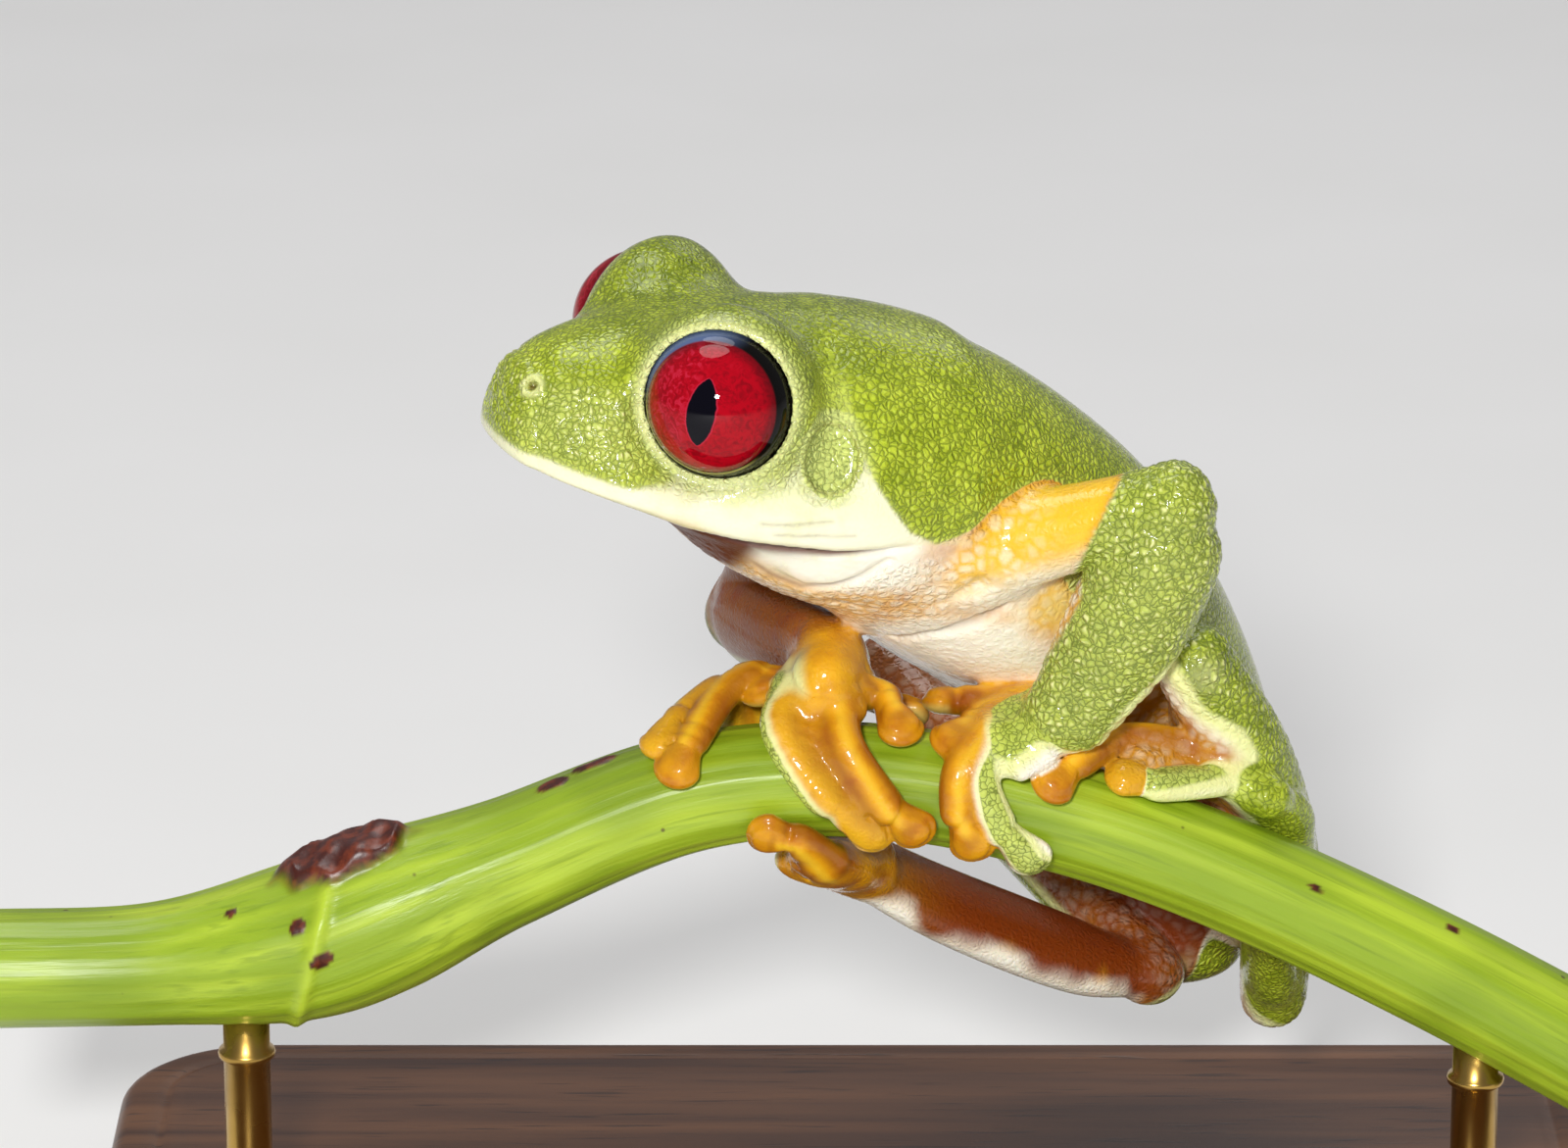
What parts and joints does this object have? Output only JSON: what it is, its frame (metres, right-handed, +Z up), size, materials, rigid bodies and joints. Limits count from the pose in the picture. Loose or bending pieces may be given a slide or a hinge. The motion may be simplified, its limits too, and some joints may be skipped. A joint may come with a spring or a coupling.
{
  "type": "red-eyed tree frog display model",
  "caption": "Life-size still model of a red-eyed tree frog gripping a cut length of green stem, held on a flat base by two short rods.",
  "frame": {"origin": "centre of the base's flat underside", "axes": "+X along the stem, away from the end that the snout points to; +Y away from the frog's left side; +Z up"},
  "size_m": [0.0933, 0.05, 0.0606],
  "materials": {
    "frog_skin": "moist granular skin, leaf green above, cream below, orange digits",
    "frog_eye": "wet clear cornea over a deep red iris with a slit pupil",
    "green_stem": "smooth waxy living stem with fine lengthwise fibres",
    "walnut_base": "dark walnut with a satin oil finish",
    "brass_rod": "brushed and lacquered"
  },
  "bodies": {
    "root": {"stand_base": "walnut_base", "stand_rod_left": "brass_rod", "stand_rod_right": "brass_rod", "perch_stem": "green_stem", "eye_left": "frog_eye", "eye_right": "frog_eye", "head": "frog_skin", "trunk": "frog_skin", "upper_arm_left": "frog_skin", "forearm_left": "frog_skin", "hand_left": "frog_skin", "upper_arm_right": "frog_skin", "forearm_right": "frog_skin", "hand_right": "frog_skin", "thigh_left": "frog_skin", "shank_left": "frog_skin", "tarsus_left": "frog_skin", "foot_left": "frog_skin", "thigh_right": "frog_skin", "shank_right": "frog_skin", "tarsus_right": "frog_skin", "foot_right": "frog_skin"}
  },
  "joints": []
}
